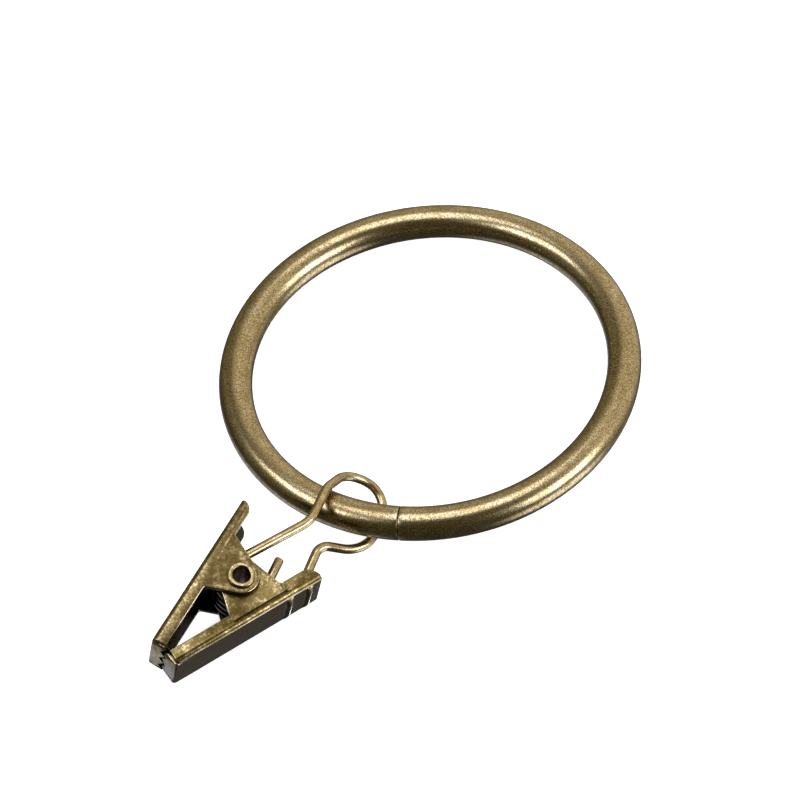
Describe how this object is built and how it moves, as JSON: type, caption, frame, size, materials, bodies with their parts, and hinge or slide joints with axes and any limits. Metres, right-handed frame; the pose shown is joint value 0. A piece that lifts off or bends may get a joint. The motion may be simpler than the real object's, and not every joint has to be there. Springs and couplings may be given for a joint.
{
  "type": "curtain ring with clip",
  "caption": "Round metal curtain ring with a toothed spring clip hung from it on a bent wire hook, for clipping a curtain to a rod.",
  "frame": {"origin": "centre of the ring, in the middle plane of its rod", "axes": "+Z along the ring's axis, towards the side on which the long leg of the wire crosses the ring; the clip lies towards -X and -Y, its nose pointing away from the ring"},
  "size_m": [0.0558, 0.0582, 0.0094],
  "materials": {
    "ring_metal": "satin antique brass plating on steel",
    "wire_metal": "satin antique brass plating on spring steel",
    "jaw_metal": "mottled antique brass plating on sheet steel",
    "rivet_metal": "satin antique brass plating on steel"
  },
  "bodies": {
    "ring_body": {"ring": "ring_metal"},
    "clip_body": {"lower_jaw": "jaw_metal", "pivot_rivet": "rivet_metal", "spring_hook": "wire_metal"},
    "upper_jaw_body": {"upper_jaw": "jaw_metal"}
  },
  "joints": [
    {"name": "hook_swing", "type": "hinge", "parent": "ring_body", "child": "clip_body", "pos_m": [-0.01056, -0.01792, 0], "axis": [-0.8616, 0.5075, 0], "range_deg": [-110, 110]},
    {"name": "jaw_pivot", "type": "hinge", "parent": "clip_body", "child": "upper_jaw_body", "pos_m": [-0.02303, -0.02616, 0.00157], "axis": [-0.1935, 0.2407, -0.9511], "range_deg": [0, 30], "stiffness_Nm_per_rad": 0.002, "springref_deg": -3.44}
  ]
}
